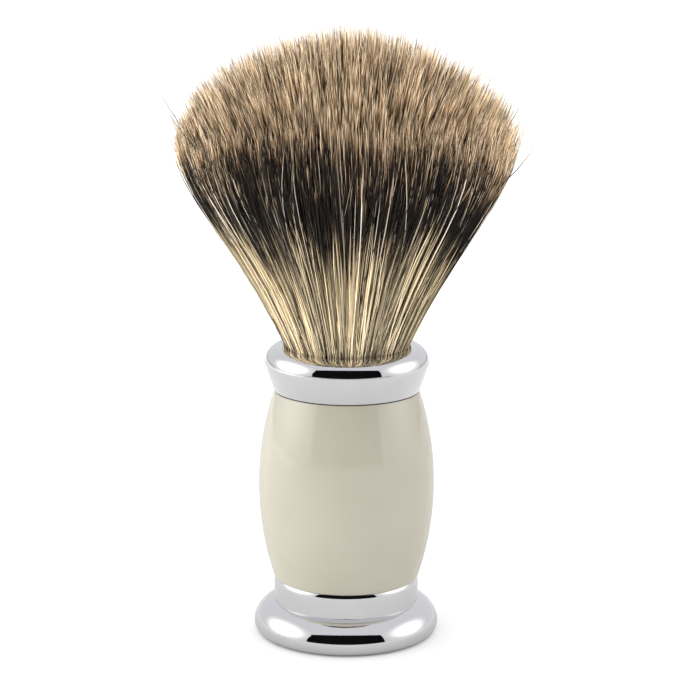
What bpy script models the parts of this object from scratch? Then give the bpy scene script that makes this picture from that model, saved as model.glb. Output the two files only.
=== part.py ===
"""A shaving brush: badger-hair knot, chromed collar, cast resin barrel and chromed foot.

The brush stands on its foot. The origin is the centre of the foot's contact ring, +Z is up, units are metres.
A threaded stud runs from a boss under the collar's cup, through the barrel, to a nut under the foot's web.
The hair bends about a horizontal axis through the centre of the collar's mouth.
"""
import math

import bpy

MM = 0.001

# Fits
CLEARANCE = 0.3 * MM
SEAM = 0.2 * MM

# Heights above the table
RECESS_TOP = 1.8 * MM
FLANGE_WIDEST_Z = 2.32 * MM
NECK_BOTTOM_Z = 6.11 * MM
WEB_BOTTOM_Z = 8.0 * MM
NECK_STRAIGHT_Z = 9.1 * MM
SHOULDER_Z = 10.33 * MM
SPIGOT_TOP_Z = 13.2 * MM
BOSS_BOTTOM_Z = 27.0 * MM
CUP_BOTTOM_Z = 33.0 * MM
CUP_FLOOR_Z = 33.7 * MM
CUP_BORE_TOP_Z = 45.1 * MM
MOUTH_BORE_BOTTOM_Z = 46.2 * MM
COLLAR_BOTTOM_Z = 44.3 * MM
CREASE_Z = 48.7 * MM
MOUTH_Z = 52.05 * MM
FAN_WIDEST_Z = 86.2 * MM
FAN_TOP_Z = 107.15 * MM

# Collar radii
MOUTH_RADIUS = 11.05 * MM
MOUTH_LIP = 0.3 * MM
BEAD_RADIUS = 14.43 * MM
COLLAR_FOOT_RADIUS = 12.85 * MM
CUP_RADIUS = 10.0 * MM
CUP_WALL = 0.6 * MM
BOSS_RADIUS = 4.2 * MM

# Barrel radii
BARREL_TOP_RADIUS = 12.75 * MM
BARREL_RADIUS = 15.54 * MM
BARREL_FOOT_RADIUS = 12.8 * MM
BARREL_EDGE = 0.25 * MM

# Foot radii
NECK_RADIUS = 12.81 * MM
NECK_LIP_RADIUS = 12.41 * MM
FLANGE_RADIUS = 16.34 * MM
CONTACT_RADIUS = 14.8 * MM
RECESS_RADIUS = 12.8 * MM
POCKET_RADIUS = 6.5 * MM
SPIGOT_RADIUS = 8.0 * MM

# Stud, nut and washers (M4)
ROD_RADIUS = 2.0 * MM
THREAD_DEPTH = 0.3 * MM
THREAD_PITCH = 0.7 * MM
THREAD_TURNS = 6
ROD_TIP_CHAMFER = 0.4 * MM
TAPPED_HOLE_ROOF = 0.6 * MM
HOLE_RADIUS = ROD_RADIUS + CLEARANCE
NUT_ACROSS_FLATS = 7.0 * MM
NUT_HEIGHT = 3.0 * MM
WASHER_RADIUS = 4.5 * MM
WASHER_THICKNESS = 0.8 * MM
LOCK_WASHER_RADIUS = 3.6 * MM
LOCK_WASHER_THICKNESS = 0.9 * MM
LOCK_WASHER_SPLIT = 0.5 * MM

# Seals and pad
GASKET_THICKNESS = 0.6 * MM
GASKET_WIDTH = 0.7 * MM
PAD_THICKNESS = 1.2 * MM

# Knot
PLUG_HEIGHT = 5.2 * MM
GLUE_THICKNESS = 0.6 * MM
CORD_THICKNESS = 0.6 * MM
CORD_PITCH = 0.8 * MM
CORD_TURNS = 3
CORD_GROOVE_LEAD = 0.4 * MM
HAIR_ROOT_RADIUS = MOUTH_RADIUS - CLEARANCE
FAN_RADIUS = 29.35 * MM
FAN_START_SLOPE = 0.47
DOME_POWER = 1.85
BEND_SPHERE_RADIUS = 16.0 * MM

# Facets around the axis
FINE_STEPS = 36
HAIR_STEPS = 28
SMALL_STEPS = 20


def clear_scene():
    for old in list(bpy.data.objects):
        bpy.data.objects.remove(old, do_unlink=True)


def new_collection(name):
    collection = bpy.data.collections.new(name)
    bpy.context.scene.collection.children.link(collection)
    return collection


def move_to(piece, collection):
    for holder in list(piece.users_collection):
        holder.objects.unlink(piece)
    collection.objects.link(piece)


def material(name, colour, metallic, roughness):
    made = bpy.data.materials.new(name)
    made.use_nodes = True
    shader = made.node_tree.nodes["Principled BSDF"]
    shader.inputs["Base Color"].default_value = (*colour, 1.0)
    shader.inputs["Metallic"].default_value = metallic
    shader.inputs["Roughness"].default_value = roughness
    made.diffuse_color = (*colour, 1.0)
    return made


def arc(centre, radii, start, end, count):
    """Points on an elliptical arc in the (radius, height) plane, angles in degrees from outward."""
    points = []
    for i in range(count + 1):
        angle = math.radians(start + (end - start) * i / count)
        radius = centre[0] + radii[0] * math.cos(angle)
        height = centre[1] + radii[1] * math.sin(angle)
        points.append((radius, height))
    return points


def bezier(p0, p1, p2, p3, count):
    """Points on a cubic curve in the (radius, height) plane."""
    points = []
    for i in range(count + 1):
        t = i / count
        weights = ((1 - t) ** 3, 3 * t * (1 - t) ** 2, 3 * t * t * (1 - t), t ** 3)
        radius = sum(w * p[0] for w, p in zip(weights, (p0, p1, p2, p3)))
        height = sum(w * p[1] for w, p in zip(weights, (p0, p1, p2, p3)))
        points.append((radius, height))
    return points


def turned(name, outline, finish, collection, steps=FINE_STEPS, closed=False, parent=None):
    """A solid of revolution about Z. The outline runs down the outer side, top to bottom.

    An open outline starts and ends on the axis; a closed one goes round a ring's section.
    """
    mesh = bpy.data.meshes.new(name)
    vertices = [(radius, 0.0, height) for radius, height in outline]
    edges = [(i, i + 1) for i in range(len(vertices) - 1)]
    if closed:
        edges.append((len(vertices) - 1, 0))
    mesh.from_pydata(vertices, edges, [])
    piece = bpy.data.objects.new(name, mesh)
    collection.objects.link(piece)
    screw = piece.modifiers.new("turn", "SCREW")
    screw.axis = "Z"
    screw.angle = math.tau
    screw.steps = steps
    screw.render_steps = steps
    screw.use_merge_vertices = True
    screw.merge_threshold = 0.00001
    screw.use_smooth_shade = True
    mesh.materials.append(finish)
    piece.parent = parent
    return piece


def ring(name, inner, outer, bottom, top, finish, collection, steps=SMALL_STEPS):
    """A flat ring with square edges."""
    outline = [(inner, top), (outer, top), (outer, bottom), (inner, bottom)]
    return turned(name, outline, finish, collection, steps, closed=True)


def disc(name, radius, bottom, top, edge, finish, collection, steps=SMALL_STEPS):
    """A solid disc with chamfered rims."""
    outline = [
        (0.0, top),
        (radius - edge, top),
        (radius, top - edge),
        (radius, bottom + edge),
        (radius - edge, bottom),
        (0.0, bottom),
    ]
    return turned(name, outline, finish, collection, steps)


def as_cutter(shape):
    shape.hide_render = True
    shape.display_type = "WIRE"
    return shape


def boolean(piece, cutter, operation="DIFFERENCE"):
    change = piece.modifiers.new(cutter.name, "BOOLEAN")
    change.operation = operation
    change.solver = "EXACT"
    change.object = cutter


def build_collar(finish, collection):
    """Ferrule: cup for the knot, rounded bead, tapering skirt, spigot and a tapped boss."""
    cup_outer = CUP_RADIUS + CUP_WALL
    bead_start = MOUTH_RADIUS + MOUTH_LIP
    bead_drop = MOUTH_Z - CREASE_Z
    hole_top = CUP_BOTTOM_Z - TAPPED_HOLE_ROOF
    outline = [(0.0, CUP_FLOOR_Z), (CUP_RADIUS, CUP_FLOOR_Z), (CUP_RADIUS, CUP_BORE_TOP_Z)]
    outline.append((MOUTH_RADIUS, MOUTH_BORE_BOTTOM_Z))
    outline += arc((bead_start, MOUTH_Z - MOUTH_LIP), (MOUTH_LIP, MOUTH_LIP), 180, 90, 3)
    outline += arc((bead_start, CREASE_Z), (BEAD_RADIUS - bead_start, bead_drop), 82, 0, 8)
    outline += [
        (BEAD_RADIUS - 0.08 * MM, CREASE_Z - 0.12 * MM),
        (COLLAR_FOOT_RADIUS, COLLAR_BOTTOM_Z),
        (cup_outer, COLLAR_BOTTOM_Z),
        (cup_outer, CUP_BOTTOM_Z),
        (BOSS_RADIUS, CUP_BOTTOM_Z),
        (BOSS_RADIUS, BOSS_BOTTOM_Z),
        (HOLE_RADIUS, BOSS_BOTTOM_Z),
        (HOLE_RADIUS, hole_top),
        (0.0, hole_top),
    ]
    return turned("collar", outline, finish, collection)


def barrel_side(top_z, bottom_z, count):
    """The barrel's bulge: the circular arc through its top edge, its widest point and its foot."""
    rise = BARREL_RADIUS - (BARREL_TOP_RADIUS + BARREL_FOOT_RADIUS) / 2
    half_chord = (top_z - bottom_z) / 2
    radius = (half_chord ** 2 + rise ** 2) / (2 * rise)
    lean = (BARREL_TOP_RADIUS - BARREL_FOOT_RADIUS) / (top_z - bottom_z)
    points = []
    for i in range(count + 1):
        along = half_chord * (1 - 2 * i / count)
        bulge = math.sqrt(radius ** 2 - along ** 2) - radius
        points.append((BARREL_RADIUS + bulge + lean * along, (top_z + bottom_z) / 2 + along))
    return points


def build_barrel(finish, collection):
    """Resin handle body with a bore for the boss, a counterbore at each end and two gasket seats."""
    top = COLLAR_BOTTOM_Z - SEAM
    bottom = SHOULDER_Z + SEAM
    cup_bore = CUP_RADIUS + CUP_WALL + CLEARANCE
    seat_width = GASKET_WIDTH + 2 * CLEARANCE
    seat_depth = GASKET_THICKNESS + 2 * CLEARANCE - SEAM
    foot_bore = SPIGOT_RADIUS + CLEARANCE
    rod_bore = BOSS_RADIUS + CLEARANCE
    side = barrel_side(top - BARREL_EDGE, bottom + BARREL_EDGE, 12)
    outline = [(cup_bore + seat_width, top), (side[0][0] - BARREL_EDGE, top)]
    outline += side
    outline += [
        (side[-1][0] - BARREL_EDGE, bottom),
        (foot_bore + seat_width, bottom),
        (foot_bore + seat_width, bottom + seat_depth),
        (foot_bore, bottom + seat_depth),
        (foot_bore, SPIGOT_TOP_Z + CLEARANCE),
        (rod_bore, SPIGOT_TOP_Z + CLEARANCE),
        (rod_bore, CUP_BOTTOM_Z - CLEARANCE),
        (cup_bore, CUP_BOTTOM_Z - CLEARANCE),
        (cup_bore, top - seat_depth),
        (cup_bore + seat_width, top - seat_depth),
    ]
    return turned("barrel", outline, finish, collection, closed=True)


def build_base(finish, collection):
    """Foot: spigot, neck ring and rounded flange, with a nut pocket and a pad recess underneath."""
    flange_start = NECK_RADIUS + 0.15 * MM
    flange_width = FLANGE_RADIUS - flange_start
    flange_drop = NECK_BOTTOM_Z - FLANGE_WIDEST_Z
    edge_width = NECK_RADIUS - NECK_LIP_RADIUS
    edge_drop = SHOULDER_Z - NECK_STRAIGHT_Z
    edge_radius = (edge_width ** 2 + edge_drop ** 2) / (2 * edge_width)
    edge_turn = math.degrees(math.asin(edge_drop / edge_radius))
    edge_centre = (NECK_RADIUS - edge_radius, NECK_STRAIGHT_Z)
    outline = [(SPIGOT_RADIUS, SPIGOT_TOP_Z), (SPIGOT_RADIUS, SHOULDER_Z)]
    outline += arc(edge_centre, (edge_radius, edge_radius), edge_turn, 0, 4)
    outline.append((NECK_RADIUS, NECK_BOTTOM_Z + 0.15 * MM))
    outline += arc((flange_start, FLANGE_WIDEST_Z), (flange_width, flange_drop), 90, 0, 9)
    under_width = FLANGE_RADIUS - CONTACT_RADIUS
    outline += arc((CONTACT_RADIUS, FLANGE_WIDEST_Z), (under_width, FLANGE_WIDEST_Z), 0, -90, 6)[1:-1]
    outline += [
        (CONTACT_RADIUS, 0.0),
        (RECESS_RADIUS, 0.0),
        (RECESS_RADIUS, RECESS_TOP),
        (POCKET_RADIUS, RECESS_TOP),
        (POCKET_RADIUS, WEB_BOTTOM_Z),
        (HOLE_RADIUS, WEB_BOTTOM_Z),
        (HOLE_RADIUS, SPIGOT_TOP_Z),
    ]
    return turned("base", outline, finish, collection, closed=True)


def build_gaskets(finish, collection):
    """Flat sealing rings in the barrel's two gasket seats."""
    collar_inner = CUP_RADIUS + CUP_WALL + 2 * CLEARANCE
    collar_top = COLLAR_BOTTOM_Z - CLEARANCE
    ring(
        "collar_gasket", collar_inner, collar_inner + GASKET_WIDTH,
        collar_top - GASKET_THICKNESS, collar_top, finish, collection, HAIR_STEPS,
    )
    base_inner = SPIGOT_RADIUS + 2 * CLEARANCE
    base_bottom = SHOULDER_Z + CLEARANCE
    ring(
        "base_gasket", base_inner, base_inner + GASKET_WIDTH,
        base_bottom, base_bottom + GASKET_THICKNESS, finish, collection, HAIR_STEPS,
    )


def thread(top):
    """Crests and roots of a thread's section, from its upper end down."""
    points = []
    for turn in range(THREAD_TURNS):
        crest = top - turn * THREAD_PITCH
        points.append((ROD_RADIUS, crest))
        points.append((ROD_RADIUS - THREAD_DEPTH, crest - THREAD_PITCH / 2))
    points.append((ROD_RADIUS, top - THREAD_TURNS * THREAD_PITCH))
    return points


def build_tie_rod(finish, collection):
    """Stud with a threaded stretch at each end and chamfered tips."""
    top = CUP_BOTTOM_Z - TAPPED_HOLE_ROOF - CLEARANCE
    bottom = RECESS_TOP + CLEARANCE
    tip = ROD_TIP_CHAMFER
    outline = [(0.0, top), (ROD_RADIUS - tip, top)]
    outline += thread(top - tip)
    outline += thread(bottom + tip + THREAD_TURNS * THREAD_PITCH)
    outline += [(ROD_RADIUS - tip, bottom), (0.0, bottom)]
    return turned("tie_rod", outline, finish, collection, steps=16)


def build_washers(finish, collection, cutters):
    """Flat washer under the web and a split spring washer under it. Returns the stack's lower face."""
    washer_top = WEB_BOTTOM_Z - CLEARANCE
    washer_bottom = washer_top - WASHER_THICKNESS
    ring("flat_washer", HOLE_RADIUS, WASHER_RADIUS, washer_bottom, washer_top, finish, collection)
    lock_top = washer_bottom - CLEARANCE
    lock_bottom = lock_top - LOCK_WASHER_THICKNESS
    lock = ring("lock_washer", HOLE_RADIUS, LOCK_WASHER_RADIUS, lock_bottom, lock_top, finish, collection)
    bpy.ops.mesh.primitive_cube_add(size=1, location=(LOCK_WASHER_RADIUS, 0, (lock_top + lock_bottom) / 2))
    slot = bpy.context.object
    slot.name = "lock_washer_split"
    slot.scale = (LOCK_WASHER_RADIUS, LOCK_WASHER_SPLIT, 4 * LOCK_WASHER_THICKNESS)
    slot.rotation_euler = (math.radians(25), 0, 0)
    move_to(slot, cutters)
    boolean(lock, as_cutter(slot))
    return lock_bottom


def build_nut(top_face, finish, collection, cutters):
    """Hexagon nut with a plain hole and corners chamfered by a turned envelope."""
    top = top_face - CLEARANCE
    bottom = top - NUT_HEIGHT
    corner = NUT_ACROSS_FLATS / math.sqrt(3)
    flat = NUT_ACROSS_FLATS / 2
    bpy.ops.mesh.primitive_cylinder_add(
        vertices=6, radius=corner, depth=NUT_HEIGHT, location=(0, 0, (top + bottom) / 2)
    )
    nut = bpy.context.object
    nut.name = "tie_nut"
    nut.data.materials.append(finish)
    move_to(nut, collection)
    slope = math.tan(math.radians(30))
    beyond = 0.5 * MM
    clear = corner + 0.1 * MM
    chamfer = (clear - flat) * slope
    envelope = [
        (HOLE_RADIUS, top + beyond),
        (flat - beyond / slope, top + beyond),
        (clear, top - chamfer),
        (clear, bottom + chamfer),
        (flat - beyond / slope, bottom - beyond),
        (HOLE_RADIUS, bottom - beyond),
    ]
    shape = turned("nut_envelope", envelope, finish, cutters, SMALL_STEPS, closed=True)
    boolean(nut, as_cutter(shape), "INTERSECT")


def build_foot_pad(finish, collection):
    """Soft disc in the recess under the foot; it hides the nut and stays just clear of the table."""
    bottom = CLEARANCE
    top = bottom + PAD_THICKNESS
    disc("foot_pad", RECESS_RADIUS - CLEARANCE, bottom, top, 0.2 * MM, finish, collection, HAIR_STEPS)


def build_knot_bed(glue, resin, collection):
    """Glue layer on the cup's floor and the cast plug above it. Returns the plug's top."""
    glue_bottom = CUP_FLOOR_Z + CLEARANCE
    glue_top = glue_bottom + GLUE_THICKNESS
    radius = CUP_RADIUS - CLEARANCE
    disc("knot_adhesive", radius, glue_bottom, glue_top, 0.1 * MM, glue, collection)
    plug_bottom = glue_top + CLEARANCE
    plug_top = plug_bottom + PLUG_HEIGHT
    disc("knot_plug", radius, plug_bottom, plug_top, 0.5 * MM, resin, collection)
    return plug_top


def fan_flank(count):
    """Side of the bloomed hair, from the collar's mouth out to the widest level."""
    reach = 12 * MM
    start = (HAIR_ROOT_RADIUS, MOUTH_Z)
    leave = (HAIR_ROOT_RADIUS + FAN_START_SLOPE * reach, MOUTH_Z + reach)
    arrive = (FAN_RADIUS - 0.8 * MM, FAN_WIDEST_Z - 7.7 * MM)
    return bezier(start, leave, arrive, (FAN_RADIUS, FAN_WIDEST_Z), count)


def fan_dome(count):
    """Rounded top of the bloomed hair, from the axis down to the widest level."""
    points = []
    for i in range(count + 1):
        angle = math.pi / 2 * (1 - i / count)
        radius = FAN_RADIUS * max(math.cos(angle), 0.0) ** (2 / DOME_POWER)
        height = FAN_WIDEST_Z + (FAN_TOP_Z - FAN_WIDEST_Z) * math.sin(angle) ** (2 / DOME_POWER)
        points.append((radius if i else 0.0, height))
    return points


def sphere_edge(radius, flank):
    """Where the flank leaves a sphere of this radius about the bend's centre."""
    for before, after in zip(flank, flank[1:]):
        near = math.hypot(before[0], before[1] - MOUTH_Z) - radius
        far = math.hypot(after[0], after[1] - MOUTH_Z) - radius
        if near <= 0 < far:
            share = near / (near - far)
            return (before[0] + share * (after[0] - before[0]), before[1] + share * (after[1] - before[1]))
    return flank[-1]


def sphere_arc(radius, edge, count):
    """Arc about the bend's centre, from the axis out to the given edge point."""
    lowest = math.degrees(math.atan2(edge[1] - MOUTH_Z, edge[0]))
    points = arc((0.0, MOUTH_Z), (radius, radius), 90, lowest, count)
    return [(0.0, MOUTH_Z + radius)] + points[1:]


def build_hair_root(bottom, finish, collection):
    """Held part of the hair: bound in the cup, filling the mouth, domed where the free hair bends over it."""
    cup_radius = CUP_RADIUS - CLEARANCE
    groove_radius = cup_radius - CORD_THICKNESS - CLEARANCE
    groove_height = CORD_TURNS * CORD_PITCH + CORD_THICKNESS + 2 * CLEARANCE
    groove_bottom = bottom + CORD_GROOVE_LEAD
    flank = fan_flank(60)
    edge = sphere_edge(BEND_SPHERE_RADIUS, flank)
    outline = sphere_arc(BEND_SPHERE_RADIUS, edge, 6)
    outline += [point for point in flank[::-20] if MOUTH_Z < point[1] < edge[1] - MM]
    outline += [
        (HAIR_ROOT_RADIUS, MOUTH_Z),
        (HAIR_ROOT_RADIUS, MOUTH_BORE_BOTTOM_Z + CLEARANCE),
        (cup_radius, CUP_BORE_TOP_Z + CLEARANCE),
        (cup_radius, groove_bottom + groove_height),
        (groove_radius, groove_bottom + groove_height),
        (groove_radius, groove_bottom),
        (cup_radius, groove_bottom),
        (cup_radius, bottom),
        (0.0, bottom),
    ]
    turned("hair_root", outline, finish, collection, HAIR_STEPS)
    return groove_radius, groove_bottom + CLEARANCE


def build_binding_cord(groove_radius, groove_bottom, finish, collection):
    """Thread wound round the hair roots as an open helix."""
    points_per_turn = 20
    radius = groove_radius + CLEARANCE + CORD_THICKNESS / 2
    curve = bpy.data.curves.new("knot_binding_cord", "CURVE")
    curve.dimensions = "3D"
    curve.bevel_depth = CORD_THICKNESS / 2
    curve.bevel_resolution = 1
    curve.use_fill_caps = True
    spline = curve.splines.new("POLY")
    total = CORD_TURNS * points_per_turn
    spline.points.add(total)
    for i in range(total + 1):
        angle = math.tau * i / points_per_turn
        height = groove_bottom + CORD_THICKNESS / 2 + CORD_PITCH * i / points_per_turn
        spline.points[i].co = (radius * math.cos(angle), radius * math.sin(angle), height, 1)
    cord = bpy.data.objects.new("knot_binding_cord", curve)
    curve.materials.append(finish)
    collection.objects.link(cord)


def build_hair_fan(finish, collection):
    """Free hair: a flared fan with a domed top and a hollow underside that turns on the bend's sphere."""
    hollow = BEND_SPHERE_RADIUS + CLEARANCE
    pivot = bpy.data.objects.new("hair_bend_axis", None)
    pivot.location = (0, 0, MOUTH_Z)
    collection.objects.link(pivot)
    flank = fan_flank(60)
    edge = sphere_edge(hollow, flank)
    upper_flank = [point for point in flank if point[1] > edge[1] + 2 * MM]
    side = upper_flank[::-6]
    underside = sphere_arc(hollow, edge, 6)[::-1]
    world_outline = fan_dome(10) + side[1:] + underside
    outline = [(radius, height - MOUTH_Z) for radius, height in world_outline]
    return turned("hair_fan", outline, finish, collection, HAIR_STEPS, parent=pivot)


def main():
    clear_scene()
    brush = new_collection("shaving_brush")
    cutters = new_collection("cutters")
    chrome = material("chrome_plate", (0.78, 0.78, 0.80), 1.0, 0.06)
    foot_chrome = material("foot_chrome_plate", (0.78, 0.78, 0.80), 1.0, 0.06)
    ivory = material("ivory_resin", (0.79, 0.75, 0.65), 0.0, 0.15)
    hair_cream = material("badger_hair_root", (0.72, 0.62, 0.44), 0.0, 0.6)
    hair_band = material("badger_hair", (0.35, 0.28, 0.21), 0.0, 0.6)
    waxed_thread = material("waxed_thread", (0.75, 0.71, 0.60), 0.0, 0.7)
    cast_resin = material("cast_resin", (0.42, 0.27, 0.12), 0.0, 0.35)
    adhesive = material("clear_adhesive", (0.82, 0.78, 0.62), 0.0, 0.3)
    rubber = material("black_rubber", (0.03, 0.03, 0.03), 0.0, 0.8)
    steel = material("zinc_steel", (0.62, 0.63, 0.64), 1.0, 0.35)
    foam = material("black_foam", (0.05, 0.05, 0.05), 0.0, 0.95)

    build_collar(chrome, brush)
    build_barrel(ivory, brush)
    build_base(foot_chrome, brush)
    build_gaskets(rubber, brush)
    build_tie_rod(steel, brush)
    stack_bottom = build_washers(steel, brush, cutters)
    build_nut(stack_bottom, steel, brush, cutters)
    build_foot_pad(foam, brush)
    plug_top = build_knot_bed(adhesive, cast_resin, brush)
    groove_radius, groove_bottom = build_hair_root(plug_top + CLEARANCE, hair_cream, brush)
    build_binding_cord(groove_radius, groove_bottom, waxed_thread, brush)
    build_hair_fan(hair_band, brush)


main()
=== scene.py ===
"""Looks for the shaving brush: strand-by-strand badger hair, polished chrome, glossy ivory resin."""
import math
import bpy
import numpy as np
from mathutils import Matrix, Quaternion, Vector


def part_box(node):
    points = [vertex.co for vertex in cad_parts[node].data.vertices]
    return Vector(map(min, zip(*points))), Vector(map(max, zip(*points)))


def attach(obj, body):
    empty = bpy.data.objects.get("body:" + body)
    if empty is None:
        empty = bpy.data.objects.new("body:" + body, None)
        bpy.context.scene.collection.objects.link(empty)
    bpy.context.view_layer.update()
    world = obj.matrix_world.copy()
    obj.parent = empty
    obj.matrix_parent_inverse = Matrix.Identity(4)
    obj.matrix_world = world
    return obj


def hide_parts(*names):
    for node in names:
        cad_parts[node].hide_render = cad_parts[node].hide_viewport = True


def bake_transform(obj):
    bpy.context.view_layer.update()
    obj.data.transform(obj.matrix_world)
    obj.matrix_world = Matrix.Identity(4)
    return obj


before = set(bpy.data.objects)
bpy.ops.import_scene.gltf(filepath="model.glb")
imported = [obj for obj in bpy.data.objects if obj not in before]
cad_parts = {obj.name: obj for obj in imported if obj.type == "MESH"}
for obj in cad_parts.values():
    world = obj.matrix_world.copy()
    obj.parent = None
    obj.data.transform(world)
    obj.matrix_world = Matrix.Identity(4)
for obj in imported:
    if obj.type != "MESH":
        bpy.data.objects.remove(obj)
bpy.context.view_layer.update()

MM = 0.001

# Levels and radii read from the frame
BASE_LOW, BASE_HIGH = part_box("base")
BARREL_LOW, BARREL_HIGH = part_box("barrel")
COLLAR_LOW, COLLAR_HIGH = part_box("collar")
PAD_LOW, PAD_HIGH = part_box("foot_pad")
FAN_LOW, FAN_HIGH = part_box("hair_fan")
MOUTH_Z = COLLAR_HIGH.z

# Chromed collar
MOUTH_RADIUS = 11.05 * MM
MOUTH_LIP = 0.12 * MM
BEAD_RADIUS = COLLAR_HIGH.x
BEAD_ROUNDNESS = 2.35
BEAD_HEIGHT = 3.5 * MM
CREASE_DROP = 3.15 * MM
COLLAR_FOOT_RADIUS = 12.88 * MM
COLLAR_FOOT_Z = MOUTH_Z - 7.75 * MM
CUP_RADIUS = 10.0 * MM
CUP_WALL = 0.6 * MM
CUP_FLOOR_Z = COLLAR_LOW.z + 6.7 * MM
CUP_LOW_Z = COLLAR_LOW.z + 6.0 * MM
BOSS_RADIUS = 4.2 * MM
ROD_HOLE_RADIUS = 2.3 * MM
ROD_HOLE_ROOF = 0.6 * MM

# Resin barrel
BARREL_TOP_RADIUS = 12.76 * MM
BARREL_FOOT_RADIUS = 12.84 * MM
BARREL_EDGE = 0.10 * MM
# Outer radius of the gasket's lip, which fills the seam as a painted shadow line.
SEAL_SHADE_LIP_RADIUS = 12.74 * MM
CLEARANCE = 0.3 * MM

# Chromed foot
SHOULDER_Z = BARREL_LOW.z - 0.2 * MM
NECK_RADIUS = 12.81 * MM
NECK_LIP_RADIUS = 12.49 * MM
NECK_STRAIGHT_Z = 9.33 * MM
NECK_LOW_Z = 6.11 * MM
FLANGE_RADIUS = BASE_HIGH.x
FLANGE_WIDEST_Z = 1.9 * MM
FLANGE_WIDTH = 4.14 * MM
FLANGE_ROUNDNESS = 1.86
CONTACT_RADIUS = 14.8 * MM
RECESS_RADIUS = 12.8 * MM
RECESS_DEPTH = 1.8 * MM
NUT_POCKET_RADIUS = 6.5 * MM
WEB_LOW_Z = 8.0 * MM

# Hair
HAIR_MOUTH_RADIUS = 10.9 * MM
FAN_RADIUS = FAN_HIGH.x
FAN_TOP_Z = FAN_HIGH.z
FAN_WIDEST_Z = 86.2 * MM
FLARE_LIMIT = 29.6 * MM
FLARE_POWER = 10.7
FLARE_SLOPE = 0.471
FLARE_CURVE = 5.1
DOME_POWER = 1.85
SEED = 20


def lathe(name, outline, finish, steps=256, closed=False):
    """A closed solid of revolution about Z from (radius, height) points running down the outer side."""
    points = np.array(outline, float)
    angles = np.linspace(0, math.tau, steps, endpoint=False)
    vertices = []
    rings = []
    for radius, height in points:
        if radius < 1e-9:
            rings.append([len(vertices)] * steps)
            vertices.append((0.0, 0.0, height))
            continue
        first = len(vertices)
        rings.append(list(range(first, first + steps)))
        vertices += [(radius * math.cos(a), radius * math.sin(a), height) for a in angles]
    faces = []
    spans = len(rings) if closed else len(rings) - 1
    for i in range(spans):
        upper = rings[i]
        lower = rings[(i + 1) % len(rings)]
        for k in range(steps):
            after = (k + 1) % steps
            corners = [upper[k], lower[k], lower[after], upper[after]]
            face = list(dict.fromkeys(corners))
            if len(face) > 2:
                faces.append(face)
    mesh = bpy.data.meshes.new(name)
    mesh.from_pydata(vertices, [], faces)
    mesh.validate()
    mesh.shade_smooth()
    mesh.set_sharp_from_angle(angle=math.radians(28))
    mesh.materials.append(finish)
    piece = bpy.data.objects.new(name, mesh)
    bpy.context.scene.collection.objects.link(piece)
    return piece


def arc(centre, radii, start, end, count):
    """Points on an elliptical arc in the (radius, height) plane; angles in degrees, 0 pointing outward."""
    angles = np.radians(np.linspace(start, end, count + 1))
    return [(centre[0] + radii[0] * math.cos(a), centre[1] + radii[1] * math.sin(a)) for a in angles]


def rounded(centre, radii, power, start, end, count):
    """Points on a superellipse in the (radius, height) plane; power 2 is an ellipse."""
    points = []
    for angle in np.radians(np.linspace(start, end, count + 1)):
        c = math.cos(angle)
        s = math.sin(angle)
        radius = centre[0] + radii[0] * math.copysign(abs(c) ** (2 / power), c)
        height = centre[1] + radii[1] * math.copysign(abs(s) ** (2 / power), s)
        points.append((radius, height))
    return points


# ---------------------------------------------------------------- materials

def new_material(name):
    made = bpy.data.materials.new(name)
    made.use_nodes = True
    return made, made.node_tree.nodes, made.node_tree.links, made.node_tree.nodes["Principled BSDF"]


def add_noise(nodes, links, scale, detail=3.0, roughness=0.5, coordinates="Object"):
    where = nodes.new("ShaderNodeTexCoord")
    noise = nodes.new("ShaderNodeTexNoise")
    noise.inputs["Scale"].default_value = scale
    noise.inputs["Detail"].default_value = detail
    noise.inputs["Roughness"].default_value = roughness
    links.new(where.outputs[coordinates], noise.inputs["Vector"])
    return noise


def map_range(nodes, links, source, low, high):
    """Carry a noise's usual spread, 0.3 to 0.7, to low and high."""
    change = nodes.new("ShaderNodeMapRange")
    change.inputs["From Min"].default_value = 0.3
    change.inputs["From Max"].default_value = 0.7
    change.inputs["To Min"].default_value = low
    change.inputs["To Max"].default_value = high
    links.new(source, change.inputs["Value"])
    return change.outputs["Result"]


def colour_ramp(nodes, links, source, stops):
    ramp = nodes.new("ShaderNodeValToRGB")
    elements = ramp.color_ramp.elements
    while len(elements) < len(stops):
        elements.new(0.5)
    for element, (place, colour) in zip(elements, stops):
        element.position = place
        element.color = (*colour, 1.0)
    links.new(source, ramp.inputs["Fac"])
    return ramp.outputs["Color"]


def chrome(name):
    """Polished chrome plate with a faint unevenness of polish."""
    made, nodes, links, shader = new_material(name)
    shader.inputs["Base Color"].default_value = (0.72, 0.72, 0.73, 1.0)
    shader.inputs["Metallic"].default_value = 1.0
    smudges = add_noise(nodes, links, 260.0, 4.0)
    roughness = map_range(nodes, links, smudges.outputs["Fac"], 0.02, 0.045)
    links.new(roughness, shader.inputs["Roughness"])
    return made


def ivory_resin():
    """Cast ivory resin: faintly clouded, polished to a gloss."""
    made, nodes, links, shader = new_material("ivory_resin")
    clouds = add_noise(nodes, links, 90.0, 4.0)
    tone = colour_ramp(nodes, links, clouds.outputs["Fac"], [
        (0.30, (0.431, 0.403, 0.320)),
        (0.70, (0.461, 0.433, 0.350)),
    ])
    links.new(tone, shader.inputs["Base Color"])
    polish = add_noise(nodes, links, 400.0, 2.0)
    roughness = map_range(nodes, links, polish.outputs["Fac"], 0.05, 0.09)
    links.new(roughness, shader.inputs["Roughness"])
    shader.inputs["IOR"].default_value = 1.66
    return made


HAIR_LENGTH_SCALE = 50 * MM
HAIR_TONES = 64
HAIR_GROUPS = 3


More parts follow.
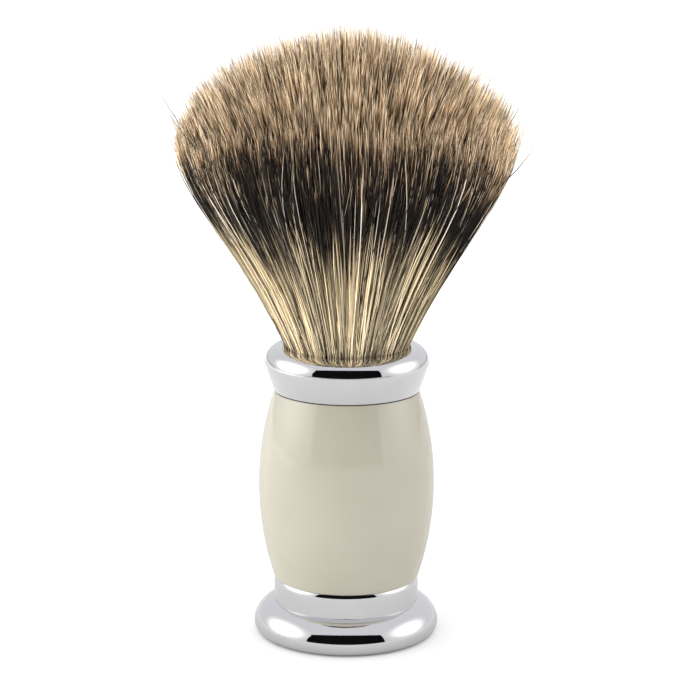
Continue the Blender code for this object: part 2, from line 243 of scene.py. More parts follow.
def badger_hair():
    """Badger hair from tip to root: pale tip, black band, cream below.

    Across the map lie three groups of strands (banded, dark, pale), each running from its darkest tone to its
    palest; up the map runs the distance from the tip.
    """
    made, nodes, links, shader = new_material("badger_hair")
    place = nodes.new("ShaderNodeUVMap")
    place.uv_map = "OFBake"
    axes = nodes.new("ShaderNodeSeparateXYZ")
    links.new(place.outputs["UV"], axes.inputs["Vector"])
    banded = colour_ramp(nodes, links, axes.outputs["Y"], [
        (0.00, (1.00, 0.81, 0.54)),
        (0.03, (0.90, 0.685, 0.43)),
        (0.07, (0.50, 0.32, 0.185)),
        (0.11, (0.12, 0.075, 0.042)),
        (0.15, (0.020, 0.014, 0.010)),
        (0.42, (0.015, 0.011, 0.008)),
        (0.47, (0.12, 0.08, 0.045)),
        (0.52, (0.55, 0.41, 0.24)),
        (0.59, (0.92, 0.76, 0.485)),
        (1.00, (0.92, 0.77, 0.515)),
    ])
    dark = colour_ramp(nodes, links, axes.outputs["Y"], [
        (0.00, (0.70, 0.52, 0.34)),
        (0.05, (0.26, 0.16, 0.09)),
        (0.11, (0.025, 0.018, 0.013)),
        (1.00, (0.060, 0.040, 0.025)),
    ])
    # Pale strands, light all along. Their greyish stretch from 0.20 to 0.38, where banded strands are black,
    # is partly their own colour and partly a painted sheen.
    pale = colour_ramp(nodes, links, axes.outputs["Y"], [
        (0.00, (1.00, 0.87, 0.66)),
        (0.10, (0.80, 0.62, 0.42)),
        (0.20, (0.78, 0.68, 0.54)),
        (0.38, (0.78, 0.68, 0.54)),
        (0.50, (0.95, 0.80, 0.56)),
        (1.00, (1.00, 0.84, 0.60)),
    ])
    column = nodes.new("ShaderNodeMath")
    column.operation = "MULTIPLY"
    column.inputs[1].default_value = HAIR_GROUPS
    links.new(axes.outputs["X"], column.inputs[0])
    tone = nodes.new("ShaderNodeMath")
    tone.operation = "FRACT"
    links.new(column.outputs[0], tone.inputs[0])
    result = banded
    for limit, colour in ((1.0, dark), (2.0, pale)):
        chosen = nodes.new("ShaderNodeMath")
        chosen.operation = "GREATER_THAN"
        chosen.inputs[1].default_value = limit
        links.new(column.outputs[0], chosen.inputs[0])
        mix = nodes.new("ShaderNodeMix")
        mix.data_type = "RGBA"
        links.new(chosen.outputs[0], mix.inputs["Factor"])
        links.new(result, mix.inputs["A"])
        links.new(colour, mix.inputs["B"])
        result = mix.outputs["Result"]
    bright = nodes.new("ShaderNodeMapRange")
    bright.inputs["To Min"].default_value = 0.04
    bright.inputs["To Max"].default_value = 1.60
    links.new(tone.outputs[0], bright.inputs["Value"])
    toned = nodes.new("ShaderNodeVectorMath")
    toned.operation = "SCALE"
    links.new(result, toned.inputs[0])
    links.new(bright.outputs["Result"], toned.inputs["Scale"])
    links.new(toned.outputs["Vector"], shader.inputs["Base Color"])
    shader.inputs["Roughness"].default_value = 0.5
    shader.inputs["Specular IOR Level"].default_value = 0.3
    return made


def plain_procedural(name, dark, light, scale, metallic, rough_low, rough_high, bump=0.0):
    """A finish whose colour and roughness wander between two values."""
    made, nodes, links, shader = new_material(name)
    noise = add_noise(nodes, links, scale, 4.0)
    tone = colour_ramp(nodes, links, noise.outputs["Fac"], [(0.3, dark), (0.7, light)])
    links.new(tone, shader.inputs["Base Color"])
    roughness = map_range(nodes, links, noise.outputs["Fac"], rough_low, rough_high)
    links.new(roughness, shader.inputs["Roughness"])
    shader.inputs["Metallic"].default_value = metallic
    if bump:
        relief = nodes.new("ShaderNodeBump")
        relief.inputs["Strength"].default_value = bump
        relief.inputs["Distance"].default_value = 0.0001
        links.new(noise.outputs["Fac"], relief.inputs["Height"])
        links.new(relief.outputs["Normal"], shader.inputs["Normal"])
    return made


# ---------------------------------------------------------------- handle

def collar_outline():
    cup_outer = CUP_RADIUS + CUP_WALL
    hole_top = CUP_LOW_Z - ROD_HOLE_ROOF
    crease = 0.05 * MM
    chamfer = 0.06 * MM
    lip_start = MOUTH_RADIUS + MOUTH_LIP
    bead_width = BEAD_RADIUS - lip_start
    bead_centre = (lip_start, MOUTH_Z - BEAD_HEIGHT)
    bead = rounded(bead_centre, (bead_width, BEAD_HEIGHT), BEAD_ROUNDNESS, 89, 0, 96)
    crease_z = MOUTH_Z - CREASE_DROP
    bead = [point for point in bead if point[1] > crease_z]
    outline = [(0.0, CUP_FLOOR_Z), (CUP_RADIUS, CUP_FLOOR_Z), (CUP_RADIUS, COLLAR_FOOT_Z + 0.9 * MM)]
    outline.append((MOUTH_RADIUS, COLLAR_FOOT_Z + 2.0 * MM))
    outline += arc((lip_start, MOUTH_Z - MOUTH_LIP), (MOUTH_LIP, MOUTH_LIP), 180, 90, 8)[:-1]
    outline += bead
    outline += [
        (BEAD_RADIUS - crease, crease_z - crease),
        (COLLAR_FOOT_RADIUS, COLLAR_FOOT_Z + chamfer),
        (COLLAR_FOOT_RADIUS - chamfer, COLLAR_FOOT_Z),
        (cup_outer, COLLAR_FOOT_Z),
        (cup_outer, CUP_LOW_Z),
        (BOSS_RADIUS, CUP_LOW_Z),
        (BOSS_RADIUS, COLLAR_LOW.z),
        (ROD_HOLE_RADIUS, COLLAR_LOW.z),
        (ROD_HOLE_RADIUS, hole_top),
        (0.0, hole_top),
    ]
    return outline


def barrel_outline():
    top = COLLAR_FOOT_Z - 0.20 * MM
    bottom = SHOULDER_Z + 0.03 * MM
    edge = BARREL_EDGE
    radius = BARREL_HIGH.x
    rise = radius - (BARREL_TOP_RADIUS + BARREL_FOOT_RADIUS) / 2
    half = (top - bottom) / 2 - edge
    curve = (half ** 2 + rise ** 2) / (2 * rise)
    lean = (BARREL_TOP_RADIUS - BARREL_FOOT_RADIUS) / (2 * half)
    side = []
    for along in np.linspace(half, -half, 65):
        bulge = math.sqrt(curve ** 2 - along ** 2) - curve
        side.append((radius + bulge + lean * along, (top + bottom) / 2 + along))
    cup_bore = CUP_RADIUS + CUP_WALL + CLEARANCE
    seat = 1.3 * MM
    depth = 1.0 * MM
    foot_bore = 8.3 * MM
    rod_bore = 4.5 * MM
    cup_low = COLLAR_LOW.z + 5.7 * MM
    spigot_top = BASE_HIGH.z + CLEARANCE
    outline = [(cup_bore + seat, top), (side[0][0] - edge, top)]
    outline += arc((side[0][0] - edge, top - edge), (edge, edge), 90, 20, 4)[1:]
    outline += side[1:-1]
    outline += arc((side[-1][0] - edge, bottom + edge), (edge, edge), -20, -90, 4)
    outline += [
        (foot_bore + seat, bottom),
        (foot_bore + seat, bottom + depth),
        (foot_bore, bottom + depth),
        (foot_bore, spigot_top),
        (rod_bore, spigot_top),
        (rod_bore, cup_low),
        (cup_bore, cup_low),
        (cup_bore, top - depth),
        (cup_bore + seat, top - depth),
    ]
    return outline


def base_outline():
    spigot = 8.0 * MM
    width = NECK_RADIUS - NECK_LIP_RADIUS
    drop = SHOULDER_Z - NECK_STRAIGHT_Z
    radius = (width ** 2 + drop ** 2) / (2 * width)
    turn = math.degrees(math.asin(drop / radius))
    centre = (FLANGE_RADIUS - FLANGE_WIDTH, FLANGE_WIDEST_Z)
    height = NECK_LOW_Z - FLANGE_WIDEST_Z
    flange = rounded(centre, (FLANGE_WIDTH, height), FLANGE_ROUNDNESS, 90, 0, 128)
    flange = [point for point in flange if point[0] > NECK_RADIUS + 0.02 * MM]
    outline = [(spigot, BASE_HIGH.z), (spigot, SHOULDER_Z)]
    outline += arc((NECK_RADIUS - radius, NECK_STRAIGHT_Z), (radius, radius), turn, 0, 16)
    outline += [(NECK_RADIUS, flange[0][1] + 0.05 * MM)]
    outline += flange
    under_width = FLANGE_RADIUS - CONTACT_RADIUS
    outline += arc((CONTACT_RADIUS, FLANGE_WIDEST_Z), (under_width, FLANGE_WIDEST_Z), 0, -90, 24)[1:-1]
    outline += [
        (CONTACT_RADIUS, 0.0),
        (RECESS_RADIUS, 0.0),
        (RECESS_RADIUS, RECESS_DEPTH),
        (NUT_POCKET_RADIUS, RECESS_DEPTH),
        (NUT_POCKET_RADIUS, WEB_LOW_Z),
        (ROD_HOLE_RADIUS, WEB_LOW_Z),
        (ROD_HOLE_RADIUS, BASE_HIGH.z),
    ]
    return outline


def gasket_outline():
    """Flat ring between collar and barrel, with a thin black lip that shows in the seam as a painted shadow
    line.
    """
    inner = CUP_RADIUS + CUP_WALL + 2 * CLEARANCE
    body = inner + 0.7 * MM
    top = COLLAR_FOOT_Z - 0.03 * MM
    lip_low = COLLAR_FOOT_Z - 0.17 * MM
    bottom = COLLAR_FOOT_Z - 0.9 * MM
    return [
        (inner, top),
        (SEAL_SHADE_LIP_RADIUS, top),
        (SEAL_SHADE_LIP_RADIUS, lip_low),
        (body, lip_low),
        (body, bottom),
        (inner, bottom),
    ]


def pad_outline():
    """Disc under the foot with a rounded lower edge."""
    edge = 0.25 * MM
    radius = PAD_HIGH.x
    outline = [(0.0, PAD_HIGH.z), (radius, PAD_HIGH.z)]
    outline += arc((radius - edge, PAD_LOW.z + edge), (edge, edge), 0, -90, 6)
    outline += [(0.0, PAD_LOW.z)]
    return outline


def build_handle():
    collar = lathe("collar_polished", collar_outline(), chrome("collar_chrome"))
    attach(collar, "handle")
    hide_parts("collar")
    barrel = lathe("barrel_turned", barrel_outline(), ivory_resin(), closed=True)
    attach(barrel, "handle")
    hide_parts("barrel")
    base = lathe("base_polished", base_outline(), chrome("base_chrome"), closed=True)
    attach(base, "handle")
    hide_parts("base")
    # Near-black rubber: the ring's own colour, and where its lip reaches into the seam it also stands as a
    # painted shadow line.
    rubber = plain_procedural(
        "seam_rubber_and_painted_shade", (0.010, 0.009, 0.012), (0.02, 0.018, 0.022), 700.0, 0.0, 0.7, 0.85
    )
    seal = lathe("collar_gasket_lipped", gasket_outline(), rubber, closed=True)
    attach(seal, "handle")
    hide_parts("collar_gasket")
    foam = plain_procedural(
        "pad_foam", (0.018, 0.018, 0.020), (0.045, 0.045, 0.05), 3000.0, 0.0, 0.85, 0.98, 0.6
    )
    pad = lathe("foot_pad_foam", pad_outline(), foam, steps=128)
    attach(pad, "handle")
    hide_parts("foot_pad")


def finish_inner_parts():
    """The hidden parts keep their CAD meshes and get materials here."""
    steel = plain_procedural("zinc_steel", (0.50, 0.51, 0.52), (0.66, 0.67, 0.68), 500.0, 1.0, 0.28, 0.42)
    rubber = plain_procedural(
        "seal_rubber", (0.020, 0.020, 0.021), (0.035, 0.035, 0.036), 700.0, 0.0, 0.7, 0.85
    )
    resin = plain_procedural("plug_resin", (0.20, 0.10, 0.035), (0.34, 0.19, 0.07), 250.0, 0.0, 0.3, 0.45)
    glue = plain_procedural("adhesive", (0.58, 0.52, 0.36), (0.70, 0.64, 0.46), 250.0, 0.0, 0.25, 0.4)
    thread = plain_procedural(
        "waxed_thread", (0.40, 0.34, 0.24), (0.62, 0.56, 0.44), 2500.0, 0.0, 0.6, 0.8, 0.5
    )
    for node, finish in (
        ("tie_rod", steel), ("tie_nut", steel), ("flat_washer", steel), ("lock_washer", steel),
        ("base_gasket", rubber), ("knot_plug", resin),
        ("knot_adhesive", glue), ("knot_binding_cord", thread),
    ):
        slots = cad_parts[node].data.materials
        slots.clear()
        slots.append(finish)


# ---------------------------------------------------------------- hair

STRANDS = 24000
CLUMPS = 2600
LOCKS = 12
SIDES = 3
STRAND_RADIUS = 0.069 * MM
ROOT_DEPTH = 2.5 * MM
FRONT_RISE = 8.0 * MM
LONGEST_TRIM = 12 * MM
SHORTEST_STRAND = 30 * MM
RING_SPAN = 54 * MM
FREE_LENGTH = 55 * MM
TIP_LEAN = 0.62
BOW = 0.42
CURL = 0.30
CLUMP_PULL = 0.35
DARK_SHARE = 0.79
PALE_SHARE = 0.93
BAND_RISE = 6.4
BAND_DROP = 3.0
RIGHT_STRETCH = 0.75
LEFT_STRETCH = 0.7
TAPER_LENGTH = 4.5 * MM
RING_DEPTHS = np.array([46.0, 37.0, 28.5, 21.0, 14.5, 9.0, 5.0, 2.2, 0.0]) * MM
RINGS = len(RING_DEPTHS) + 1


def flare(share, height):
    """Radius of a strand at a height above the mouth; share is its place from axis (0) to rim (1)."""
    metres = np.maximum(height, 0.0)
    open_radius = share * (HAIR_MOUTH_RADIUS + FLARE_SLOPE * metres + FLARE_CURVE * metres ** 2)
    safe = np.maximum(open_radius, 1e-6)
    return (safe ** -FLARE_POWER + FLARE_LIMIT ** -FLARE_POWER) ** (-1 / FLARE_POWER)


def dome(height):
    """Radius of the bloomed hair's rounded top at a height above the mouth."""
    rise = FAN_TOP_Z - FAN_WIDEST_Z
    up = np.clip((height - (FAN_WIDEST_Z - MOUTH_Z)) / rise, 0.0, 1.0)
    return FAN_RADIUS * (1 - up ** DOME_POWER) ** (1 / DOME_POWER)


def tip_heights(shares):
    """Height above the mouth at which a strand of each share reaches the dome."""
    table_share = np.linspace(0.0, 1.0, 201)
    heights = np.linspace(FAN_WIDEST_Z - MOUTH_Z, FAN_TOP_Z - MOUTH_Z, 2001)
    table = []
    for share in table_share:
        inside = flare(share, heights) <= dome(heights)
        table.append(heights[inside][-1] if inside.any() else heights[0])
    return np.interp(shares, table_share, table)


def waves(x, y, seed, scale):
    """Smooth values between -1 and 1 that wander with place, as a sum of a few tilted sine waves."""
    rng = np.random.default_rng(seed)
    total = np.zeros_like(x)
    for _ in range(6):
        angle, phase = rng.uniform(0, math.tau, 2)
        frequency = scale * rng.uniform(0.6, 1.6)
        total += np.sin(frequency * (x * math.cos(angle) + y * math.sin(angle)) + phase)
    return total / 3.0


def nearest_clump(x, y, rng):
    """Index of the closest of a set of scattered clump centres."""
    turn = rng.uniform(0, math.tau, CLUMPS)
    out = np.sqrt(rng.uniform(0, 1, CLUMPS))
    centre_x = out * np.cos(turn)
    centre_y = out * np.sin(turn)
    found = []
    for first in range(0, len(x), 1500):
        part = slice(first, first + 1500)
        far = (x[part, None] - centre_x) ** 2 + (y[part, None] - centre_y) ** 2
        found.append(far.argmin(axis=1))
    return np.concatenate(found)


def clump_mean(clump, values):
    total = np.bincount(clump, weights=values, minlength=CLUMPS)
    members = np.maximum(np.bincount(clump, minlength=CLUMPS), 1)
    return (total / members)[clump]


def from_front(around):
    """Degrees round from the front, growing towards the right."""
    return np.degrees(np.arctan2(np.cos(around), -np.sin(around)))


def band_shift(around):
    """How much nearer the tip the dark band sits.

    It sits highest a little left of the front, and lower at the far right.
    """
    turn = from_front(around) + 22.0
    away = np.where(turn < 0, (turn / 25.0) ** 4, (turn / 33.0) ** 2)
    drop = BAND_DROP * np.clip((turn - 64.0) / 20.0, 0, 1) * np.clip((170.0 - turn) / 40.0, 0, 1)
    return (BAND_RISE * np.exp(-away) - drop) * MM


def band_stretch(around):
    """How much shorter the dark band is: most to the right of the front, a little at the far left."""
    turn = from_front(around)
    right = np.clip(np.cos(around), 0, 1) * np.clip(-np.sin(around), 0, 1)
    return 1 + RIGHT_STRETCH * right + LEFT_STRETCH * np.clip((-turn - 42.0) / 15.0, 0, 1)


def grow_strands(count, rng):
    """Centre lines (count, RINGS + 1, 3) that end at the tip, with each strand's place round the
    axis, tone, band shift and band stretch.
    """
    share = np.sqrt(rng.uniform(0, 1, count))
    around = rng.uniform(0, math.tau, count)
    home_x = share * np.cos(around)
    home_y = share * np.sin(around)
    clump = nearest_clump(home_x, home_y, rng)
    clump_value = rng.normal(size=(4, CLUMPS))
    tip = tip_heights(share)
    short = rng.exponential(1.7 * MM, count) - 1.0 * MM
    short += 0.75 * MM * clump_value[0][clump]
    short += 0.5 * MM * waves(home_x, home_y, 5, 14.0)
    facing = np.clip(-np.sin(around), 0, 1)
    outer = np.clip((share - 0.88 + 0.22 * facing) / 0.12, 0, 1)
    short += outer * rng.uniform(0, 1, count) ** 1.6 * (4.5 + 7.0 * facing) * MM
    tip = np.maximum(tip, FAN_WIDEST_Z - MOUTH_Z + FRONT_RISE * facing ** 1.3)
    tip = tip - np.clip(short, -1.3 * MM, LONGEST_TRIM)
    reach = np.maximum(tip, SHORTEST_STRAND)
    depth = RING_DEPTHS[None, :] * (reach[:, None] / RING_SPAN)
    height = reach[:, None] - depth
    foot = np.array([[-ROOT_DEPTH, 0.2 * MM]]).repeat(count, axis=0)
    height = np.concatenate([foot, height], axis=1)
    radius = flare(share[:, None], height)
    out = np.clip(height / FREE_LENGTH, 0, 1)
    draw = rng.uniform(0, 1, count)
    stray = np.where(draw < 0.35, 2.0, 1.0)
    stray = np.where(draw < 0.12, 3.6, stray)
    stray = np.where(draw < 0.015, 6.0, stray)
    lean_x = (-0.7 + 0.7 * waves(home_x, home_y, 1, 10.0) + 0.35 * clump_value[1][clump]) * MM
    lean_y = (0.7 * waves(home_x, home_y, 2, 10.0) + 0.35 * clump_value[2][clump]) * MM
    lean_x += TIP_LEAN * rng.normal(size=count) * stray * MM
    lean_y += TIP_LEAN * rng.normal(size=count) * stray * MM
    bow_x = BOW * rng.normal(size=count) * stray * MM
    bow_y = BOW * rng.normal(size=count) * stray * MM
    rim = np.clip((share - 0.8) / 0.1, 0, 1)
    swing = rim * np.clip(bow_x * np.cos(around) + bow_y * np.sin(around), 0, None)
    bow_x -= swing * np.cos(around)
    bow_y -= swing * np.sin(around)
    curl_x = CURL * rng.normal(size=count) * stray * MM
    curl_y = CURL * rng.normal(size=count) * stray * MM
    swing = rim * np.clip(curl_x * np.cos(around) + curl_y * np.sin(around), 0, None)
    curl_x -= swing * np.cos(around)
    curl_y -= swing * np.sin(around)
    x = radius * np.cos(around)[:, None]
    y = radius * np.sin(around)[:, None]
    pull = CLUMP_PULL * out ** 3
    x += pull * (clump_mean(clump, x[:, -1]) - x[:, -1])[:, None]
    y += pull * (clump_mean(clump, y[:, -1]) - y[:, -1])[:, None]
    once = np.sin(math.pi * out)
    twice = np.sin(math.tau * out)
    late = out ** np.where(stray > 3, 3.0, 1.7)[:, None]
    x += lean_x[:, None] * late + bow_x[:, None] * once + curl_x[:, None] * twice
    y += lean_y[:, None] * late + bow_y[:, None] * once + curl_y[:, None] * twice
    lines = np.stack([x, y, MOUTH_Z + height], axis=2)
    # Strand tones differ at random. The darker 38 percent of strands also stand in as painted shade in the
    # gaps between hairs.
    own = rng.uniform(0, 1, count)
    tone = np.where(own < 0.38, 0.85 * own, 0.55 + 0.72 * (own - 0.38))
    tone = np.clip(tone + 0.05 * clump_value[3][clump], 0.0, 0.999)
    kind = rng.uniform(0, 1, count)
    kind += 0.16 * np.clip((-from_front(around) - 38.0) / 18.0, 0, 1) * (kind > 0.70)
    group = (kind > DARK_SHARE).astype(int) + (kind > PALE_SHARE).astype(int)
    tone = np.floor(tone * HAIR_TONES) + HAIR_TONES * group
    inner = 1 - np.clip((share - 0.55) / 0.25, 0, 1)
    shift = rng.normal(0, 1.7 * MM, count) + band_shift(around) * (1 - inner) - 1.4 * MM * inner
    shift += 1.1 * MM * clump_value[0][clump] + 0.9 * MM * waves(home_x, home_y, 9, 16.0)
    return lines, around, tone, shift, band_stretch(around)


def strand_mesh(name, lines, traits, finish, rng):
    """One mesh of closed, tapering, three-sided strands; its map holds tone and place along the hair."""
    tone, shift, stretch = traits
    count, points, _ = lines.shape
    along = np.gradient(lines, axis=1)
    along /= np.linalg.norm(along, axis=2, keepdims=True)
    side = np.cross(along, np.array([0.0, 0.0, 1.0]) + rng.normal(0, 0.3, (count, 1, 3)))
    side /= np.linalg.norm(side, axis=2, keepdims=True)
    other = np.cross(along, side)
    lengths = np.linalg.norm(np.diff(lines, axis=1), axis=2)
    from_tip = np.concatenate([np.cumsum(lengths[:, ::-1], axis=1)[:, ::-1], np.zeros((count, 1))], axis=1)
    taper = np.clip(from_tip / TAPER_LENGTH, 0.0, 1.0) ** 0.5
    thick = STRAND_RADIUS * rng.uniform(0.5, 1.45, count)
    size = thick[:, None] * np.maximum(taper, 0.2)
    spin = rng.uniform(0, math.tau, count)
    corners = []
    for k in range(SIDES):
        angle = (spin + math.tau * k / SIDES)[:, None, None]
        outward = side[:, :-1] * np.cos(angle) + other[:, :-1] * np.sin(angle)
        corners.append(lines[:, :-1] + size[:, :-1, None] * outward)
    rings = np.stack(corners, axis=2).reshape(count, RINGS * SIDES, 3)
    vertices = np.concatenate([rings, lines[:, -1:, :]], axis=1)
    per_strand = RINGS * SIDES + 1
    quads = []
    for j in range(RINGS - 1):
        for k in range(SIDES):
            after = (k + 1) % SIDES
            quads.append([j * SIDES + k, j * SIDES + after, (j + 1) * SIDES + after, (j + 1) * SIDES + k])
    last_ring = (RINGS - 1) * SIDES
    triangles = [[last_ring + k, last_ring + (k + 1) % SIDES, per_strand - 1] for k in range(SIDES)]
    triangles.append([2, 1, 0])
    quads = np.array(quads)
    triangles = np.array(triangles)
    offsets = (np.arange(count) * per_strand)[:, None]
    loop_pattern = np.concatenate([quads.ravel(), triangles.ravel()])
    loops = (offsets + loop_pattern[None, :]).ravel()
    sizes = np.array([4] * len(quads) + [3] * len(triangles))
    starts_one = np.concatenate([[0], np.cumsum(sizes)[:-1]])
    loops_per_strand = len(loop_pattern)
    starts = ((np.arange(count) * loops_per_strand)[:, None] + starts_one[None, :]).ravel()
    mesh = bpy.data.meshes.new(name)
    mesh.vertices.add(count * per_strand)
    mesh.vertices.foreach_set("co", vertices.astype(np.float32).ravel())
    mesh.loops.add(len(loops))
    mesh.loops.foreach_set("vertex_index", loops.astype(np.int32))
    mesh.polygons.add(len(starts))
    mesh.polygons.foreach_set("loop_start", starts.astype(np.int32))
    settle = 1 - np.exp(-from_tip / rng.uniform(1.2 * MM, 5.0 * MM, (count, 1)))
    place = (from_tip * stretch[:, None] + shift[:, None] * settle) / HAIR_LENGTH_SCALE
    place = np.clip(place, 0.004, 0.996)
    ring_of = np.minimum(np.arange(per_strand) // SIDES, points - 1)
    side_of = np.arange(per_strand) % SIDES
    v = place[:, ring_of][:, loop_pattern]
    columns = HAIR_GROUPS * HAIR_TONES
    u_middle = (tone + 0.5) / columns
    u = u_middle[:, None] + (side_of[loop_pattern][None, :] - 1) * 0.3 / columns
    layer = mesh.uv_layers.new(name="OFBake")
    layer.uv.foreach_set("vector", np.stack([u, v], axis=2).astype(np.float32).ravel())
    mesh.update(calc_edges=True)
    mesh.shade_smooth()
    mesh.materials.append(finish)
    piece = bpy.data.objects.new(name, mesh)
    bpy.context.scene.collection.objects.link(piece)
    return piece


def build_core(finish):
    """Dense inside of the bundle, coloured dark as painted shade, seen only as darkness between strands."""
    heights = np.linspace(0, FAN_WIDEST_Z - MOUTH_Z - 4 * MM, 24)
    flank = [(0.80 * float(flare(1.0, h)), MOUTH_Z + h) for h in heights]
    rise = FAN_TOP_Z - FAN_WIDEST_Z - 5 * MM
    widest, level = flank[-1]
    top = [(0.0, level + rise)]
    for angle in np.radians(np.linspace(86, 0, 24)):
        top.append((widest * math.cos(angle), level + rise * math.sin(angle)))
    outline = top + flank[-2::-1] + [(flank[0][0], MOUTH_Z - ROOT_DEPTH), (0.0, MOUTH_Z - ROOT_DEPTH)]
    return lathe("hair_core", outline, finish, steps=96)


def build_hair():
    finish = badger_hair()
    rng = np.random.default_rng(SEED)
    lines, around, tone, shift, stretch = grow_strands(STRANDS, rng)
    lock_of = (around / math.tau * LOCKS).astype(int) % LOCKS
    for lock in range(LOCKS):
        mine = lock_of == lock
        traits = (tone[mine], shift[mine], stretch[mine])
        piece = strand_mesh(f"hair_lock_{lock:02d}", lines[mine], traits, finish, rng)
        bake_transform(piece)
        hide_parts("hair_fan", "hair_root")
    # Dark brown finish for the core: painted shade in the gaps between the strands.
    inside = plain_procedural(
        "hair_inside_painted_shade", (0.05, 0.036, 0.024), (0.12, 0.088, 0.058), 800.0, 0.0, 0.8, 0.95
    )
    core = build_core(inside)
    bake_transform(core)


# ---------------------------------------------------------------- stage, light and camera

CAMERA_DISTANCE = 419.8 * MM
CAMERA_PITCH = math.radians(12.4)
CAMERA_ROLL = math.radians(0.25)
CAMERA_TARGET = Vector((0.52 * MM, 0.0, 51.1 * MM))
FOCAL_LENGTH = 123.43
LIGHT_TARGET = Vector((0.0, 0.0, 0.04))


def build_floor():
    """White paper.

    The floor glows as painted light. The camera sees a painted glow that grows towards white away from the
    foot and is weaker near the foot, a painted shade there. Diffuse rays meet a painted bounce glow onto the
    brush that grows towards the left.
    """
    made, nodes, links, shader = new_material("white_floor")
    grain = add_noise(nodes, links, 40.0, 2.0)
    tone = colour_ramp(nodes, links, grain.outputs["Fac"], [
        (0.3, (0.60, 0.60, 0.59)),
        (0.7, (0.62, 0.62, 0.61)),
    ])
    links.new(tone, shader.inputs["Base Color"])
    shader.inputs["Roughness"].default_value = 0.9
    shader.inputs["Specular IOR Level"].default_value = 0.1
    shader.inputs["Emission Color"].default_value = (1.0, 1.0, 1.0, 1.0)
    # Painted light: the floor's emission stands in for light, though the floor is no lamp.
    path = nodes.new("ShaderNodeLightPath")
    where = nodes.new("ShaderNodeTexCoord")
    away = nodes.new("ShaderNodeVectorMath")
    away.operation = "LENGTH"
    links.new(where.outputs["Object"], away.inputs[0])
    # Painted glow seen only by the camera, weaker within 16 mm of the axis: a painted shade near the foot.
    seen = nodes.new("ShaderNodeMapRange")
    seen.inputs["From Min"].default_value = 0.016
    seen.inputs["From Max"].default_value = 0.045
    seen.inputs["To Min"].default_value = 0.30
    seen.inputs["To Max"].default_value = 0.62
    links.new(away.outputs["Value"], seen.inputs["Value"])
    painted_camera_glow = nodes.new("ShaderNodeMath")
    painted_camera_glow.operation = "MULTIPLY"
    links.new(path.outputs["Is Camera Ray"], painted_camera_glow.inputs[0])
    links.new(seen.outputs["Result"], painted_camera_glow.inputs[1])
    sides = nodes.new("ShaderNodeSeparateXYZ")
    links.new(where.outputs["Object"], sides.inputs[0])
    # Painted bounce glow for diffuse rays, growing towards the left side of the floor.
    painted_bounce_glow = nodes.new("ShaderNodeMapRange")
    painted_bounce_glow.interpolation_type = "SMOOTHSTEP"
    painted_bounce_glow.inputs["From Min"].default_value = 0.06
    painted_bounce_glow.inputs["From Max"].default_value = -0.16
    painted_bounce_glow.inputs["To Min"].default_value = 0.36
    painted_bounce_glow.inputs["To Max"].default_value = 1.10
    links.new(sides.outputs["X"], painted_bounce_glow.inputs["Value"])
    total = nodes.new("ShaderNodeMath")
    total.operation = "MULTIPLY_ADD"
    links.new(path.outputs["Is Diffuse Ray"], total.inputs[0])
    links.new(painted_bounce_glow.outputs["Result"], total.inputs[1])
    links.new(painted_camera_glow.outputs[0], total.inputs[2])
    links.new(total.outputs[0], shader.inputs["Emission Strength"])
    bpy.ops.mesh.primitive_plane_add(size=60.0, location=(0.0, 0.0, 0.0))
    floor = bpy.context.object
    floor.name = "floor"
    floor.data.materials.append(made)


def build_dark_card(name, distance, low, high, half_width):
    """Flat dark cloth behind the camera, seen only in reflections."""
    made, nodes, links, shader = new_material(name)
    shader.inputs["Base Color"].default_value = (0.004, 0.004, 0.004, 1.0)
    shader.inputs["Roughness"].default_value = 1.0
    shader.inputs["Specular IOR Level"].default_value = 0.0
    corners = [(-half_width, low), (half_width, low), (half_width, high), (-half_width, high)]
    mesh = bpy.data.meshes.new(name)
    mesh.from_pydata([(x, -distance, z) for x, z in corners], [], [(0, 1, 2, 3)])
    mesh.materials.append(made)
    card = bpy.data.objects.new(name, mesh)
    card.visible_camera = False
    card.visible_diffuse = False
    card.visible_shadow = False
    card.visible_transmission = False
    bpy.context.scene.collection.objects.link(card)


def direction(azimuth, elevation):
    """Unit vector towards a light; azimuth 0 is the viewer's side, positive to the viewer's right."""
    a = math.radians(azimuth)
    e = math.radians(elevation)
    return Vector((math.sin(a) * math.cos(e), -math.cos(a) * math.cos(e), math.sin(e)))


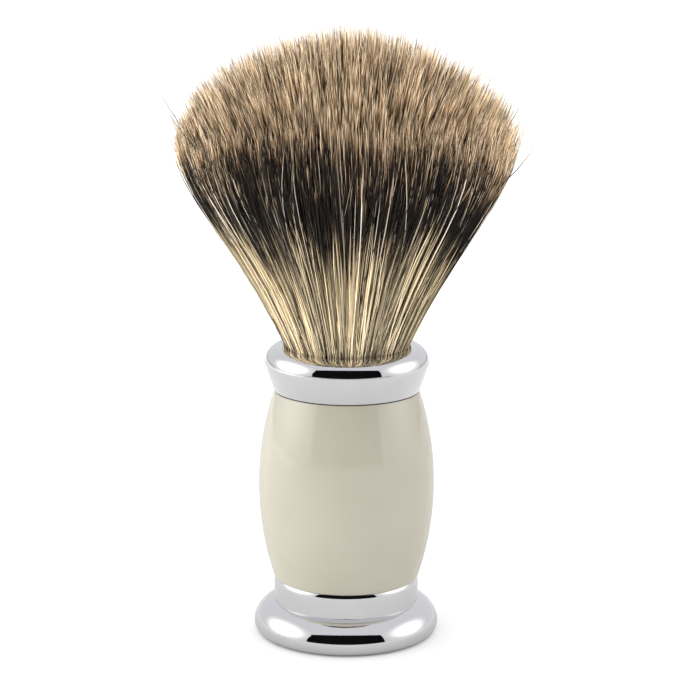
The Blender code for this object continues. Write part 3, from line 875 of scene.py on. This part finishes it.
def build_softbox(name, azimuth, elevation, distance, width, height, middle, rim):
    """Round-cornered diffuser, brightest in the middle and fading to the rim."""
    made = bpy.data.materials.new(name)
    made.use_nodes = True
    nodes = made.node_tree.nodes
    links = made.node_tree.links
    nodes.clear()
    output = nodes.new("ShaderNodeOutputMaterial")
    glow = nodes.new("ShaderNodeEmission")
    where = nodes.new("ShaderNodeTexCoord")
    fade = nodes.new("ShaderNodeTexGradient")
    fade.gradient_type = "SPHERICAL"
    links.new(where.outputs["Object"], fade.inputs["Vector"])
    strength = nodes.new("ShaderNodeMapRange")
    strength.interpolation_type = "SMOOTHSTEP"
    strength.inputs["From Max"].default_value = 0.9
    strength.inputs["To Min"].default_value = rim
    strength.inputs["To Max"].default_value = middle
    links.new(fade.outputs["Fac"], strength.inputs["Value"])
    links.new(strength.outputs["Result"], glow.inputs["Strength"])
    links.new(glow.outputs[0], output.inputs["Surface"])
    vertices = []
    for angle in np.linspace(0, math.tau, 48, endpoint=False):
        c = math.cos(angle)
        s = math.sin(angle)
        vertices.append((math.copysign(abs(c) ** 0.7, c), math.copysign(abs(s) ** 0.7, s), 0.0))
    mesh = bpy.data.meshes.new(name)
    mesh.from_pydata(vertices, [], [list(range(48))])
    mesh.materials.append(made)
    box = bpy.data.objects.new(name, mesh)
    back = direction(azimuth, elevation)
    box.location = LIGHT_TARGET + back * distance
    box.rotation_mode = "QUATERNION"
    box.rotation_quaternion = (-back).to_track_quat("-Z", "Y")
    box.scale = (width / 2, height / 2, 1.0)
    box.visible_camera = False
    bpy.context.scene.collection.objects.link(box)


def area_light(name, azimuth, elevation, distance, width, height, radiance):
    """Plain white lamp that leaves no reflection of its own."""
    light = bpy.data.lights.new(name, "AREA")
    light.shape = "RECTANGLE"
    light.size = width
    light.size_y = height
    light.energy = radiance * math.pi * width * height
    lamp = bpy.data.objects.new(name, light)
    back = direction(azimuth, elevation)
    lamp.location = LIGHT_TARGET + back * distance
    lamp.rotation_mode = "QUATERNION"
    lamp.rotation_quaternion = (-back).to_track_quat("-Z", "Y")
    lamp.visible_glossy = False
    bpy.context.scene.collection.objects.link(lamp)


def build_world(strength):
    world = bpy.data.worlds.new("studio")
    bpy.context.scene.world = world
    world.use_nodes = True
    nodes = world.node_tree.nodes
    links = world.node_tree.links
    nodes.clear()
    output = nodes.new("ShaderNodeOutputWorld")
    seen = nodes.new("ShaderNodeBackground")
    seen.inputs["Color"].default_value = (1, 1, 1, 1)
    seen.inputs["Strength"].default_value = 1.0
    lighting = nodes.new("ShaderNodeBackground")
    lighting.inputs["Color"].default_value = (0.965, 0.96, 1.0, 1)
    lighting.inputs["Strength"].default_value = strength
    path = nodes.new("ShaderNodeLightPath")
    mix = nodes.new("ShaderNodeMixShader")
    links.new(path.outputs["Is Camera Ray"], mix.inputs["Fac"])
    links.new(lighting.outputs[0], mix.inputs[1])
    links.new(seen.outputs[0], mix.inputs[2])
    links.new(mix.outputs[0], output.inputs["Surface"])


def build_camera():
    data = bpy.data.cameras.new("camera")
    data.lens = FOCAL_LENGTH
    data.sensor_width = 36.0
    data.dof.use_dof = False
    data.clip_start = 0.01
    camera = bpy.data.objects.new("camera", data)
    back = Vector((0, -math.cos(CAMERA_PITCH), math.sin(CAMERA_PITCH)))
    camera.location = CAMERA_TARGET + back * CAMERA_DISTANCE
    camera.rotation_mode = "QUATERNION"
    aim = (-back).to_track_quat("-Z", "Y")
    camera.rotation_quaternion = aim @ Quaternion((0, 0, 1), CAMERA_ROLL)
    bpy.context.scene.collection.objects.link(camera)
    bpy.context.scene.camera = camera


def build_studio():
    build_floor()
    build_dark_card("dark_room", 0.6, 0.03, 0.62, 0.68)
    build_softbox("softbox_left", -88, 20, 0.6, 0.92, 0.64, 2.5, 0.9)
    build_softbox("softbox_right", 90, 20, 0.6, 0.86, 0.60, 2.1, 0.86)
    area_light("fill_top", 0, 80, 0.8, 0.8, 0.8, 1.9)
    area_light("fill_left", -88, 10, 0.6, 0.5, 0.5, 3.4)
    area_light("fill_right", 92, 2, 0.6, 0.5, 0.6, 0.7)
    area_light("rim_left", -145, 15, 0.7, 0.5, 0.6, 1.6)
    area_light("rim_right", 140, 15, 0.7, 0.5, 0.6, 1.2)
    build_world(0.84)
    build_camera()
    bpy.context.scene.view_settings.view_transform = "Standard"


build_handle()
finish_inner_parts()
build_hair()
build_studio()
